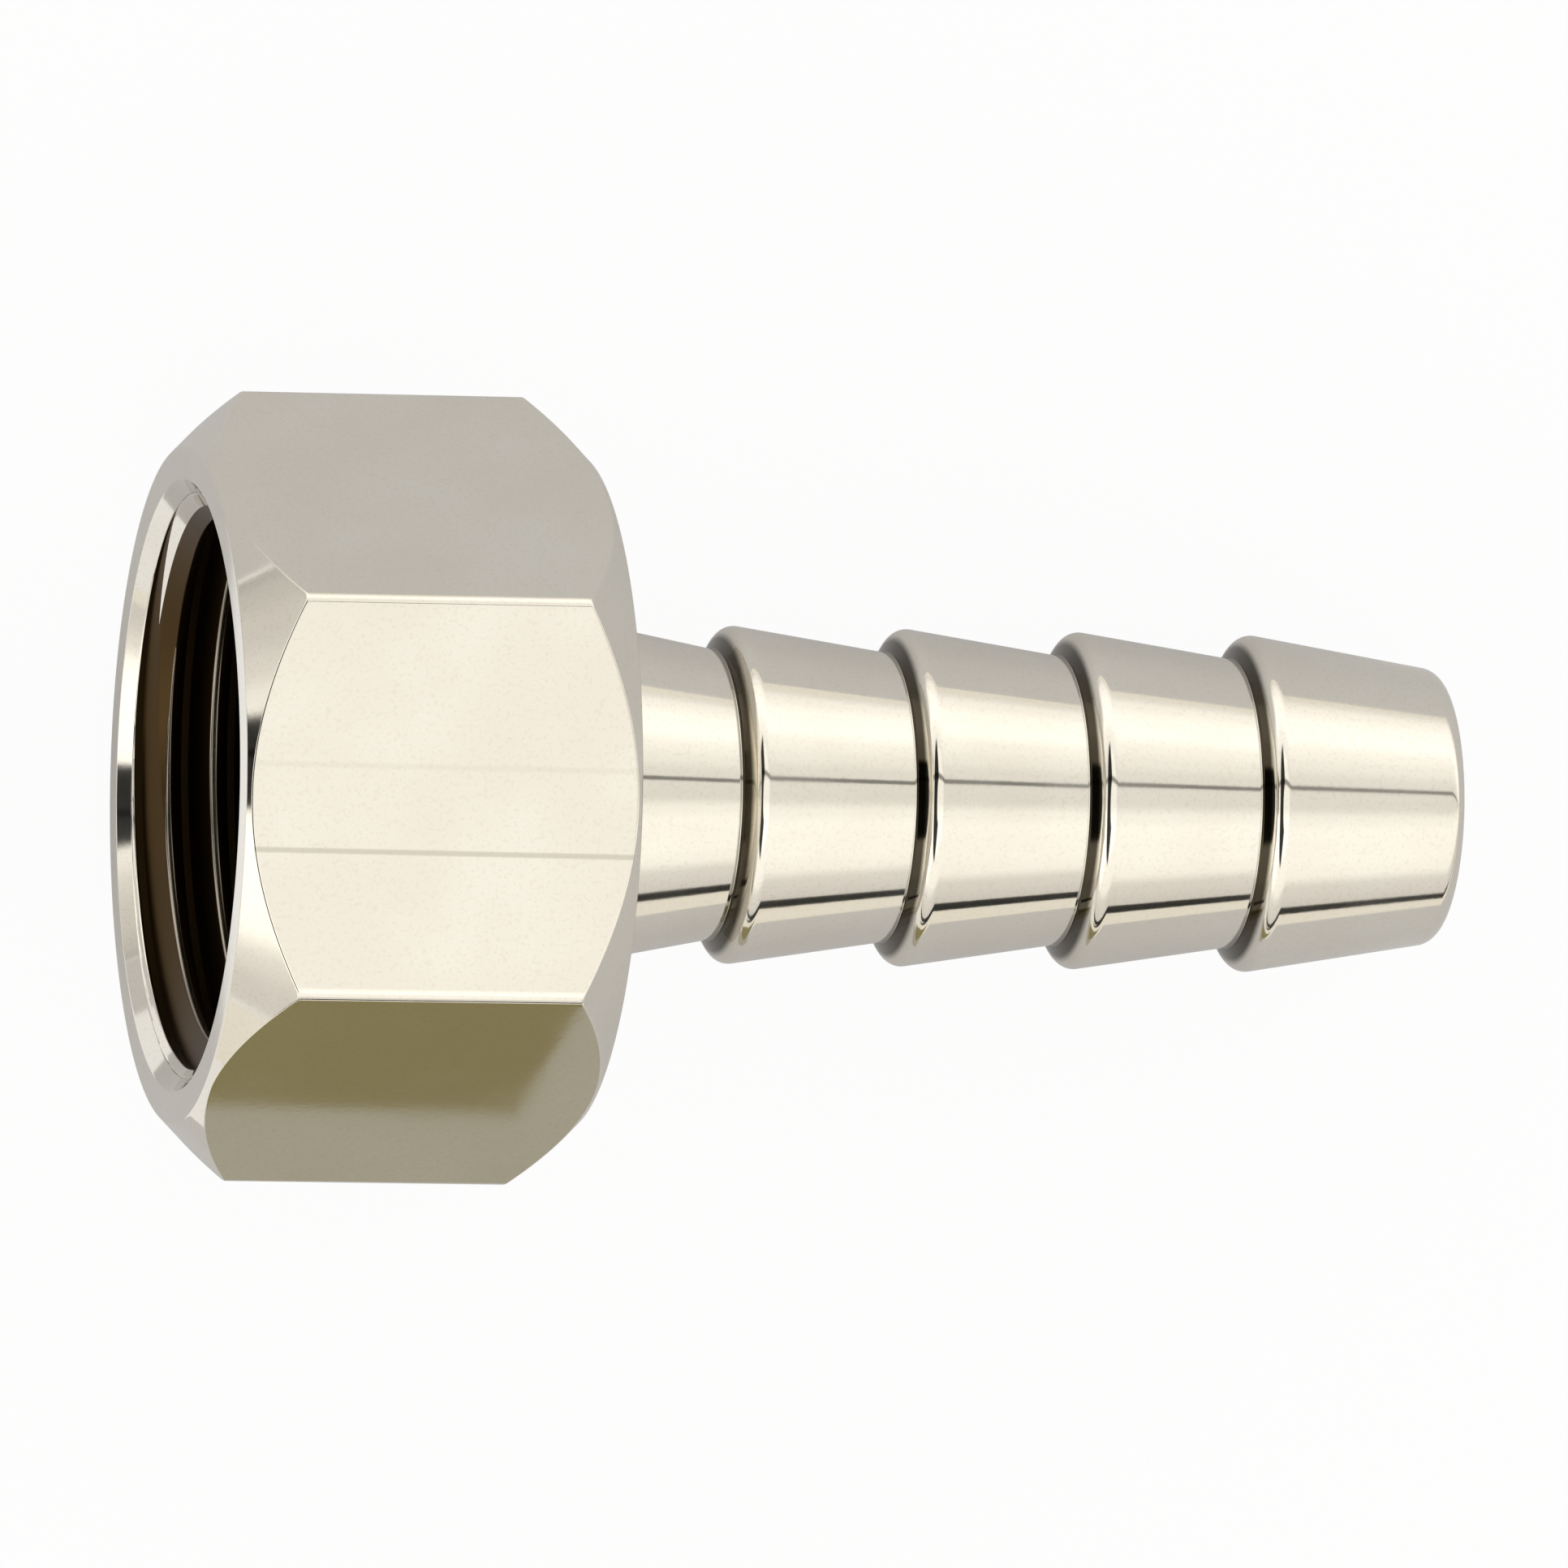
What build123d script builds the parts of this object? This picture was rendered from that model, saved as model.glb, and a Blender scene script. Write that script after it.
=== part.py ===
"""Screw-on hose tail, turned and milled from one piece of hexagon bar.

Millimetres, +Z up. The part is drawn along its own axis first: the mouth's
ring lies at zero and the tail runs along +X. It's then laid down as it comes
to rest on a table, on the rear edge of its lower flat and the tip of its tail.
"""

import math
import os

from build123d import *

# Hexagon
ACROSS_FLATS = 32.0
HEXAGON_LENGTH = 18.65
HEXAGON_CHAMFER_ANGLE = 45.0  # between the chamfer and the axis
HEXAGON_FACE_DIAMETER = 31.5  # of the turned ring that each chamfer leaves

# Threaded mouth, left plain at the thread's inner diameter
THREAD_INNER_DIAMETER = 24.5
MOUTH_DEPTH = 13.5
COUNTERSINK_DIAMETER = 28.5
COUNTERSINK_ANGLE = 45.0  # between the countersink and the axis

# Barbed tail
BARB_COUNT = 4
BARB_PITCH = 8.31
BARB_CREST_DIAMETER = 15.8
BARB_ROOT_DIAMETER = 13.54
BARB_BACK_ANGLE = 67.0  # between a barb's back and the axis
BARB_ROUNDING = 0.65  # radius of each barb's crest
NECK_DIAMETER = 16.2
NECK_LENGTH = 6.83
LAST_BARB_LENGTH = 9.95
TIP_DIAMETER = 13.1
TIP_ROUNDING = 0.9

# Waterway
WATERWAY_DIAMETER = 10.0
WATERWAY_CHAMFER = 0.5  # at both of its ends

# Facets are trimmed from a blank that reaches past them by this much.
TRIM = 1.0

ACROSS_CORNERS = ACROSS_FLATS / math.cos(math.radians(30))
LENGTH = HEXAGON_LENGTH + NECK_LENGTH + (BARB_COUNT - 1) * BARB_PITCH + LAST_BARB_LENGTH


def slope(angle):
    """Growth of a cone's radius per millimetre of its length."""
    return math.tan(math.radians(angle))


def turned(outline):
    """A solid of revolution about the part's axis, from its half outline."""
    return revolve(Plane.XZ * make_face(outline), Axis.X)


def hexagon():
    """The hexagon bar's end, with the corners of both faces turned off."""
    bar = Plane.YZ * RegularPolygon(ACROSS_CORNERS / 2, 6)
    prism = extrude(bar, HEXAGON_LENGTH)
    face_radius = HEXAGON_FACE_DIAMETER / 2
    blank_radius = ACROSS_CORNERS / 2 + TRIM
    cone_length = (blank_radius - face_radius) / slope(HEXAGON_CHAMFER_ANGLE)
    outline = Polyline(
        (0, 0),
        (0, face_radius),
        (cone_length, blank_radius),
        (HEXAGON_LENGTH - cone_length, blank_radius),
        (HEXAGON_LENGTH, face_radius),
        (HEXAGON_LENGTH, 0),
        close=True,
    )
    return prism & turned(outline)


def cone_fall(run, drop, rounding):
    """Fall of a line that leaves a circle smoothly and meets a second one so.

    The run and the drop lead to the second circle's centre, and the rounding is
    how much larger the first circle's radius is.
    """
    return math.asin(rounding / math.hypot(run, drop)) - math.atan2(drop, run)


def on_circle(centre_x, centre_height, radius, lean):
    """Point of a circle whose normal leans by this angle from the radial one."""
    return centre_x + radius * math.sin(lean), centre_height + radius * math.cos(lean)


def barb(root_x, end_x, end_height, end_rounding):
    """One barb: a steep back, a rounded crest, and a cone that runs on smoothly.

    The cone ends on a circle about the point that's given, or in the point itself
    where the rounding there is nought.
    """
    root = BARB_ROOT_DIAMETER / 2
    back_lean = math.radians(BARB_BACK_ANGLE)
    crest_height = BARB_CREST_DIAMETER / 2 - BARB_ROUNDING
    back_height = crest_height + BARB_ROUNDING * math.cos(back_lean) - root
    crest_x = root_x + back_height / math.tan(back_lean) + BARB_ROUNDING * math.sin(back_lean)
    crest = (crest_x, crest_height, BARB_ROUNDING)
    end = (end_x, end_height, end_rounding)
    fall = cone_fall(end_x - crest_x, end_height - crest_height, BARB_ROUNDING - end_rounding)
    back_end = on_circle(*crest, -back_lean)
    cone_start = on_circle(*crest, fall)
    return [
        Line((root_x, root), back_end),
        ThreePointArc(back_end, on_circle(*crest, (fall - back_lean) / 2), cone_start),
        Line(cone_start, on_circle(*end, fall)),
    ]


def tail():
    """The barbed tail, turned on the back of the hexagon."""
    root = BARB_ROOT_DIAMETER / 2
    tip_height = TIP_DIAMETER / 2 - TIP_ROUNDING
    tip_x = LENGTH - TIP_ROUNDING
    root_x = HEXAGON_LENGTH + NECK_LENGTH
    edges = [
        Line((HEXAGON_LENGTH, 0), (HEXAGON_LENGTH, NECK_DIAMETER / 2)),
        Line((HEXAGON_LENGTH, NECK_DIAMETER / 2), (root_x, root)),
    ]
    for _ in range(BARB_COUNT - 1):
        edges += barb(root_x, root_x + BARB_PITCH, root, 0)
        root_x += BARB_PITCH
    edges += barb(root_x, tip_x, tip_height, TIP_ROUNDING)
    face = (LENGTH, tip_height)
    middle = on_circle(tip_x, tip_height, TIP_ROUNDING, math.radians(45))
    edges.append(ThreePointArc(edges[-1] @ 1, middle, face))
    edges.append(Line(face, (LENGTH, 0)))
    edges.append(Line((LENGTH, 0), (HEXAGON_LENGTH, 0)))
    return turned(edges)


def mouth():
    """The space of the threaded mouth with its countersink."""
    radius = THREAD_INNER_DIAMETER / 2
    rim = COUNTERSINK_DIAMETER / 2
    depth = (rim - radius) / slope(COUNTERSINK_ANGLE)
    outline = Polyline(
        (0, 0),
        (0, rim),
        (depth, radius),
        (MOUTH_DEPTH, radius),
        (MOUTH_DEPTH, 0),
        close=True,
    )
    return turned(outline)


def waterway():
    """The space of the bore through the tail, eased at both ends."""
    radius = WATERWAY_DIAMETER / 2
    eased = radius + WATERWAY_CHAMFER
    outline = Polyline(
        (MOUTH_DEPTH, 0),
        (MOUTH_DEPTH, eased),
        (MOUTH_DEPTH + WATERWAY_CHAMFER, radius),
        (LENGTH - WATERWAY_CHAMFER, radius),
        (LENGTH, eased),
        (LENGTH, 0),
        close=True,
    )
    return turned(outline)


def rear_edge():
    """Place of the lower flat's rear edge: along the axis, and out from it."""
    flat = ACROSS_FLATS / 2
    face_radius = HEXAGON_FACE_DIAMETER / 2
    return HEXAGON_LENGTH - (flat - face_radius) / slope(HEXAGON_CHAMFER_ANGLE), flat


def rest_tilt():
    """Tilt of the axis, tail down, as it lies on the rear edge and the tip's rounding."""
    edge_x, edge_height = rear_edge()
    run = LENGTH - TIP_ROUNDING - edge_x
    rise = edge_height - (TIP_DIAMETER / 2 - TIP_ROUNDING)
    return math.atan2(rise, run) - math.asin(TIP_ROUNDING / math.hypot(run, rise))


def laid_down(body):
    """The part at rest on the table, with its length centred over the origin."""
    tilt = rest_tilt()
    edge_x, edge_height = rear_edge()
    height = edge_x * math.sin(tilt) + edge_height * math.cos(tilt)
    front = -HEXAGON_FACE_DIAMETER / 2 * math.sin(tilt)
    tip_x = LENGTH - TIP_ROUNDING
    tip_height = TIP_DIAMETER / 2 - TIP_ROUNDING
    back = tip_x * math.cos(tilt) + tip_height * math.sin(tilt) + TIP_ROUNDING
    return Pos(-(front + back) / 2, 0, height) * Rot(Y=math.degrees(tilt)) * body


hose_tail = laid_down(hexagon() + tail() - mouth() - waterway())
hose_tail.label = "hose_tail"

os.makedirs("parts", exist_ok=True)
export_step(hose_tail, "parts/hose_tail.step")
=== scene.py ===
"""Looks of the screw-on hose tail: nickel plate, rounded edges and the thread.

The fitting's sizes are millimetres along its own axis, with the mouth's ring at
zero and the tail along +X. The meshes that leave this script are in metres, in
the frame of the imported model, where the fitting lies at rest on its table. The
studio's sizes are metres in that frame.
"""

import logging
import math
from dataclasses import dataclass, field
from enum import Enum
from typing import Optional, Sequence, Union

import bpy
from mathutils import Euler, Matrix, Vector

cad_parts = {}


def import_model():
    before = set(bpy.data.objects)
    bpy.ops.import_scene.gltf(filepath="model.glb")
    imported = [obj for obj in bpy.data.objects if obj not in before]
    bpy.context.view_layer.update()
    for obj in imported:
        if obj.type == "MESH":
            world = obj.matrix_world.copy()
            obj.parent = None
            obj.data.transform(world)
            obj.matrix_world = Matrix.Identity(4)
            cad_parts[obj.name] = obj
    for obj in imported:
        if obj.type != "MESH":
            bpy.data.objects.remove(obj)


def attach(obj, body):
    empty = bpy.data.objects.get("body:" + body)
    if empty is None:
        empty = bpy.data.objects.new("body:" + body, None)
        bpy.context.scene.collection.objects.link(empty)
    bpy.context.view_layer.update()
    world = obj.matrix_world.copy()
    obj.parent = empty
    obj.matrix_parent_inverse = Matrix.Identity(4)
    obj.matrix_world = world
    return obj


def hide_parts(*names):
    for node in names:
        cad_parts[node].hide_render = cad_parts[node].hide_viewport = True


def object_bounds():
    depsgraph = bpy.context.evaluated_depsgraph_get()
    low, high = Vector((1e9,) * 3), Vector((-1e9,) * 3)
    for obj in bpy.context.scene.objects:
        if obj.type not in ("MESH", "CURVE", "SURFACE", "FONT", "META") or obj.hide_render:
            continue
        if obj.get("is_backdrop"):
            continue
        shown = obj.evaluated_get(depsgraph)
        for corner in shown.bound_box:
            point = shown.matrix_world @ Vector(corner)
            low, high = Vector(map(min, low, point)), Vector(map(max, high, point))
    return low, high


LOG = logging.getLogger("hose_tail")
METRE = 0.001  # metres in a millimetre
DEGREES = 180 / math.pi  # degrees in a radian
FACETS = 6
HALF_FACET = math.pi / FACETS  # from the middle of a facet to its corner
DOWN = math.radians(270)  # round the axis, from the far side
SEAM = 0.0005  # millimetres within which two points of a lattice's seam are one
FAINT = 0.0001  # the least that a direction is divided by
CORNER_HOLD = 0.03  # millimetres from an arc to the point that keeps the next flat flat

Number = Union[int, float]
Colour = tuple[float, float, float]
Points = Sequence[tuple[float, float]]


# Node trees


class Term:
    """A socket of a node tree, with the operators that sums are written in."""

    def __init__(self, tree: "Tree", socket: bpy.types.NodeSocket) -> None:
        """Wraps a socket.

        Args:
            tree: The tree that the socket belongs to.
            socket: The output that carries the value.
        """
        self.tree = tree
        self.socket = socket

    def _with(self, operation: str, *others: "Value") -> "Term":
        """Adds a Math node of this operation, fed by this term and the others."""
        return self.tree.math(operation, self, *others)

    def __add__(self, other: "Value") -> "Term":
        """Sum of the two."""
        return self._with("ADD", other)

    __radd__ = __add__

    def __mul__(self, other: "Value") -> "Term":
        """Product of the two."""
        return self._with("MULTIPLY", other)

    __rmul__ = __mul__

    def __sub__(self, other: "Value") -> "Term":
        """This less the other."""
        return self._with("SUBTRACT", other)

    def __rsub__(self, other: "Value") -> "Term":
        """The other less this."""
        return self.tree.math("SUBTRACT", other, self)

    def __truediv__(self, other: "Value") -> "Term":
        """This over the other."""
        return self._with("DIVIDE", other)

    def __rtruediv__(self, other: "Value") -> "Term":
        """The other over this."""
        return self.tree.math("DIVIDE", other, self)

    def __neg__(self) -> "Term":
        """This with its sign turned."""
        return self._with("MULTIPLY", -1.0)

    def __gt__(self, other: "Value") -> "Term":
        """One where this is over the other, and nought elsewhere."""
        return self._with("GREATER_THAN", other)

    def __lt__(self, other: "Value") -> "Term":
        """One where this is under the other, and nought elsewhere."""
        return self._with("LESS_THAN", other)

    def __mod__(self, other: "Value") -> "Term":
        """What is left of this after whole steps of the other."""
        return self._with("FLOORED_MODULO", other)

    def __abs__(self) -> "Term":
        """This without its sign."""
        return self._with("ABSOLUTE")

    def floor(self) -> "Term":
        """This, cut down to a whole number."""
        return self._with("FLOOR")

    def sine(self) -> "Term":
        """Sine of this angle."""
        return self._with("SINE")

    def cosine(self) -> "Term":
        """Cosine of this angle."""
        return self._with("COSINE")

    def arctangent(self) -> "Term":
        """Angle with this tangent."""
        return self._with("ARCTANGENT")

    def root(self) -> "Term":
        """Square root of this."""
        return self._with("SQRT")

    def at_least(self, other: "Value") -> "Term":
        """The larger of the two."""
        return self._with("MAXIMUM", other)

    def at_most(self, other: "Value") -> "Term":
        """The smaller of the two."""
        return self._with("MINIMUM", other)

    def ramp(self, low: Number, high: Number) -> "Term":
        """Nought under low, one over high, and a smooth rise between them."""
        places = {"Value": self, "From Min": low, "From Max": high}
        settings = {"interpolation_type": "SMOOTHSTEP"}
        return self.tree.value("ShaderNodeMapRange", settings, places, "Result")

    def band(self, middle: Number, half_width: Number, soft: Number) -> "Term":
        """One within half_width of middle, and nought soft further out."""
        return 1.0 - abs(self - middle).ramp(half_width, half_width + soft)

    def through(self, points: Points) -> "Term":
        """A smooth curve of this, level before its first point and after its last.

        Args:
            points: Each a place and the curve's value there, in rising order.

        Returns:
            The curve's value.
        """
        level: "Value" = points[0][1]
        for (low, first), (high, last) in zip(points, points[1:]):
            level = level + (last - first) * self.ramp(low, high)
        return level


Value = Union[Term, int, float]


class Tree:
    """A node tree that is filled from Python expressions."""

    def __init__(self, tree: bpy.types.NodeTree) -> None:
        """Wraps an empty tree."""
        self.tree = tree

    def node(
        self,
        kind: str,
        settings: Optional[dict[str, object]] = None,
        inputs: Optional[dict[Union[str, int], object]] = None,
    ) -> bpy.types.Node:
        """Adds a node.

        Args:
            kind: The node's type.
            settings: Properties of the node, which are set before its sockets.
            inputs: Values or terms for its sockets, by name or number.

        Returns:
            The new node.
        """
        made = self.tree.nodes.new(kind)
        for name, setting in (settings or {}).items():
            setattr(made, name, setting)
        for key, content in (inputs or {}).items():
            self.feed(made.inputs[key], content)
        return made

    def feed(self, socket: bpy.types.NodeSocket, content: object) -> None:
        """Links a term to a socket, or writes a plain value on it.

        Args:
            socket: The input.
            content: The term or the value.
        """
        if isinstance(content, Term):
            self.tree.links.new(content.socket, socket)
        else:
            socket.default_value = content

    def out(self, node: bpy.types.Node, name: Union[str, int] = 0) -> Term:
        """The term that a node's output carries."""
        return Term(self, node.outputs[name])

    def value(
        self,
        kind: str,
        settings: Optional[dict[str, object]] = None,
        inputs: Optional[dict[Union[str, int], object]] = None,
        name: Union[str, int] = 0,
    ) -> Term:
        """Adds a node and gives its output of this name or number."""
        return self.out(self.node(kind, settings, inputs), name)

    def math(self, operation: str, *values: Value) -> Term:
        """Adds a Math node.

        Args:
            operation: The node's operation.
            values: What its sockets take, in their order.

        Returns:
            The result.
        """
        return self.value("ShaderNodeMath", {"operation": operation}, dict(enumerate(values)))

    def split(self, vector: Term) -> tuple[Term, Term, Term]:
        """The three parts of a vector."""
        node = self.node("ShaderNodeSeparateXYZ", {}, {0: vector})
        return self.out(node, 0), self.out(node, 1), self.out(node, 2)

    def joined(self, x: Value, y: Value, z: Value) -> Term:
        """A vector made of three parts."""
        return self.value("ShaderNodeCombineXYZ", {}, {0: x, 1: y, 2: z})

    def mixed(self, share: Value, first: object, second: object) -> Term:
        """Mixes two colours.

        Args:
            share: How much of the second shows.
            first: The first, as a term or as red, green, blue and alpha.
            second: The second.

        Returns:
            The mixed colour.
        """
        node = self.node("ShaderNodeMix", {"data_type": "RGBA"})
        self.feed(node.inputs["Factor"], share)
        sockets = [socket for socket in node.inputs if socket.type == "RGBA"]
        for socket, colour in zip(sockets, (first, second)):
            self.feed(socket, colour)
        return Term(self, next(s for s in node.outputs if s.type == "RGBA"))

    def shown(self, kind: str, shader: Term) -> None:
        """Ends the tree in an output node of this kind."""
        self.node(kind, {}, {"Surface": shader})


def opaque(colour: Colour) -> tuple[float, float, float, float]:
    """A colour of three parts, with full alpha."""
    return (*colour, 1.0)


# Outlines


@dataclass(frozen=True)
class Corner:
    """A corner of a turned outline.

    along and out are its place for a round body. On the hexagon's facets it
    also follows the facet: along moves by the chamfer's reach there, times
    follow_along, and out by the facet's own distance, times follow_out.
    """

    along: float
    out: float
    rounding: float = 0.0
    follow_along: float = 0.0
    follow_out: float = 0.0
    steps: int = 5  # facets of its arc


@dataclass
class Outline:
    """A closed outline of rounded corners, as points that a lattice is cut from."""

    reach: float  # of the chamfer, along the axis at the middle of a facet
    distance: float  # from the axis to the middle of a facet
    corners: list[Corner] = field(default_factory=list)

    def add(self, corners: Sequence[Corner]) -> None:
        """Adds corners at the end."""
        self.corners.extend(corners)

    def place(self, corner: Corner) -> Vector:
        """Where a corner lies in the plane through the middle of a facet."""
        along = corner.along + corner.follow_along * self.reach
        return Vector((along, corner.out + corner.follow_out * self.distance))

    def arc(self, index: int) -> list[Vector]:
        """The arc at a corner, with the two points that keep the flats beside it flat.

        Args:
            index: Which corner it is.

        Returns:
            The points, from the corner itself.
        """
        corner = self.corners[index]
        here = self.place(corner)
        before = (self.place(self.corners[index - 1]) - here).normalized()
        after = (self.place(self.corners[(index + 1) % len(self.corners)]) - here).normalized()
        half = before.angle(after) / 2
        tangent = corner.rounding / math.tan(half)
        centre = (before + after).normalized() * (corner.rounding / math.sin(half))
        first = before * tangent - centre
        sweep = first.angle_signed(after * tangent - centre)
        points = [before * (tangent + CORNER_HOLD)]
        for step in range(corner.steps + 1):
            turn = Matrix.Rotation(-sweep * step / corner.steps, 2)
            points.append(centre + turn @ first)
        return points + [after * (tangent + CORNER_HOLD)]

    def rounded(self) -> list[Corner]:
        """Puts an arc at each corner that has a rounding.

        Returns:
            The points in order, each a corner with no rounding of its own.
        """
        points: list[Corner] = []
        for index, corner in enumerate(self.corners):
            follow = (corner.follow_along, corner.follow_out)
            offsets = self.arc(index) if corner.rounding else [Vector((0.0, 0.0))]
            for offset in offsets:
                place = (corner.along + offset.x, corner.out + offset.y)
                points.append(Corner(*place, 0.0, *follow))
        return points


def point_mesh(name: str, points: Sequence[Corner]) -> bpy.types.Object:
    """A mesh of loose points that carries a closed outline to a Geometry Nodes tree.

    Args:
        name: The object's name.
        points: The outline's points. The first comes again at the end.

    Returns:
        The object, linked to the scene.
    """
    closed = [*points, points[0]]
    mesh = bpy.data.meshes.new(name)
    mesh.from_pydata([(point.along, 0.0, point.out) for point in closed], [], [])
    for label in ("follow_along", "follow_out"):
        attribute = mesh.attributes.new(label, "FLOAT", "POINT")
        attribute.data.foreach_set("value", [getattr(point, label) for point in closed])
    thing = bpy.data.objects.new(name, mesh)
    bpy.context.scene.collection.objects.link(thing)
    return thing


# Shapes by Geometry Nodes


@dataclass(frozen=True)
class Placing:
    """How the part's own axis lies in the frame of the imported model."""

    tilt: float
    shift_along: float
    shift_up: float

    def shift(self) -> Vector:
        """Where the middle of the mouth's ring lies, in millimetres."""
        return Vector((self.shift_along, 0.0, self.shift_up))

    def matrix(self) -> Matrix:
        """From millimetres on the part's own axis to metres in the frame."""
        turn = Matrix.Rotation(self.tilt, 4, "Y")
        return Matrix.Scale(METRE, 4) @ Matrix.Translation(self.shift()) @ turn


class NodeShape:
    """A Geometry Nodes tree with named inputs, and the mesh that it makes."""

    def __init__(self, name: str) -> None:
        """Starts a tree with a geometry input and output."""
        self.group = bpy.data.node_groups.new(name, "GeometryNodeTree")
        self.tree = Tree(self.group)
        face = self.group.interface
        face.new_socket("Geometry", in_out="INPUT", socket_type="NodeSocketGeometry")
        face.new_socket("Geometry", in_out="OUTPUT", socket_type="NodeSocketGeometry")
        self.entry = self.group.nodes.new("NodeGroupInput")
        self.exit = self.group.nodes.new("NodeGroupOutput")
        self.values: dict[str, Number] = {}

    def _input(self, name: str, kind: str, value: Number) -> Term:
        """Adds a named input, and notes what the modifier gives it.

        Args:
            name: The input's name.
            kind: Its socket's type.
            value: What it takes.

        Returns:
            The term that carries it.
        """
        socket = self.group.interface.new_socket(name, in_out="INPUT", socket_type=kind)
        self.values[socket.identifier] = value
        return self.tree.out(self.entry, name)

    def size(self, name: str, value: float) -> Term:
        """Adds a named input for a size."""
        return self._input(name, "NodeSocketFloat", float(value))

    def count(self, name: str, value: int) -> Term:
        """Adds a named input for a whole number."""
        return self._input(name, "NodeSocketInt", int(value))

    def sampled(self, kind: str, value: Term, index: Term) -> Term:
        """A value of the outline's point with this index.

        Args:
            kind: The value's data type.
            value: The field that is read on the outline.
            index: Which point it is read from.

        Returns:
            The value.
        """
        settings = {"data_type": kind, "domain": "POINT", "clamp": True}
        outline = self.tree.out(self.entry, "Geometry")
        inputs = {"Geometry": outline, "Value": value, "Index": index}
        return self.tree.value("GeometryNodeSampleIndex", settings, inputs)

    def placed(self, index: Term) -> tuple[Term, Term, Term]:
        """The place of the outline's point with this index."""
        place = self.tree.value("GeometryNodeInputPosition")
        return self.tree.split(self.sampled("FLOAT_VECTOR", place, index))

    def named(self, attribute: str, index: Term) -> Term:
        """A named number of the outline's point with this index."""
        settings = {"data_type": "FLOAT"}
        kind = "GeometryNodeInputNamedAttribute"
        return self.sampled("FLOAT", self.tree.value(kind, settings, {"Name": attribute}), index)

    def lattice(self, rows: Term, columns: Term) -> tuple[Term, Term, Term]:
        """A grid of points, with each point's row and column.

        Args:
            rows: How many rows there are.
            columns: How many columns there are.

        Returns:
            The grid's mesh, the row and the column.
        """
        sizes = {"Vertices X": rows, "Vertices Y": columns}
        grid = self.tree.value("GeometryNodeMeshGrid", {}, sizes, "Mesh")
        index = self.tree.value("GeometryNodeInputIndex")
        row = ((index + 0.5) / columns).floor()
        return grid, row, index - row * columns

    def close(self, mesh: Term, position: Term, flip: bool, finish: str) -> None:
        """Places the lattice's points, joins its seams and ends the tree.

        Args:
            mesh: The lattice.
            position: Where each of its points goes.
            flip: Whether its faces are turned over.
            finish: The material's name.
        """
        steps = [
            ("GeometryNodeSetPosition", "Geometry", {"Position": position}),
            ("GeometryNodeMergeByDistance", "Geometry", {"Distance": SEAM}),
        ]
        if flip:
            steps.append(("GeometryNodeFlipFaces", "Mesh", {}))
        steps += [
            ("GeometryNodeSetShadeSmooth", "Geometry", {"Shade Smooth": True}),
            ("GeometryNodeRealizeInstances", "Geometry", {}),
            ("GeometryNodeSetMaterial", "Geometry", {"Material": bpy.data.materials[finish]}),
        ]
        for kind, entry, inputs in steps:
            mesh = self.tree.value(kind, {}, {entry: mesh, **inputs})
        self.tree.feed(self.exit.inputs["Geometry"], mesh)

    def built(self, source: bpy.types.Object, name: str, placing: Placing) -> bpy.types.Object:
        """Runs the tree on an outline and keeps the result as a plain mesh.

        Args:
            source: The object whose points are the outline. It is removed.
            name: The new piece's name.
            placing: Where the part lies.

        Returns:
            The piece, at the origin, with its place in its mesh.
        """
        modifier = source.modifiers.new(name, "NODES")
        modifier.node_group = self.group
        for identifier, value in self.values.items():
            modifier[identifier] = value
        graph = bpy.context.evaluated_depsgraph_get()
        mesh = bpy.data.meshes.new_from_object(source.evaluated_get(graph))
        source.modifiers.remove(modifier)
        bpy.data.objects.remove(source)
        mesh.name = name
        mesh.transform(placing.matrix())
        mesh.update()
        piece = bpy.data.objects.new(name, mesh)
        bpy.context.scene.collection.objects.link(piece)
        return piece


# Finishes


def new_material(name: str) -> tuple[bpy.types.Material, Tree]:
    """An empty material and its tree.

    Args:
        name: The material's name.

    Returns:
        The two.
    """
    material = bpy.data.materials.new(name)
    material.use_nodes = True
    material.node_tree.nodes.clear()
    return material, Tree(material.node_tree)


@dataclass(frozen=True)
class Landmarks:
    """Where the finish changes: radii, and distances from the mouth's ring."""

    flat_distance: float
    thread_root_radius: float
    thread_crest_radius: float
    rim_radius: float
    mouth_depth: float
    first_root: float
    last_root: float
    barb_pitch: float


@dataclass(frozen=True)
class DrawnLine:
    """A straight line that was left along the top flat when the bar was drawn."""

    across: float  # from the middle of the flat
    half_width: float
    soft: float
    strength: float


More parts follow.
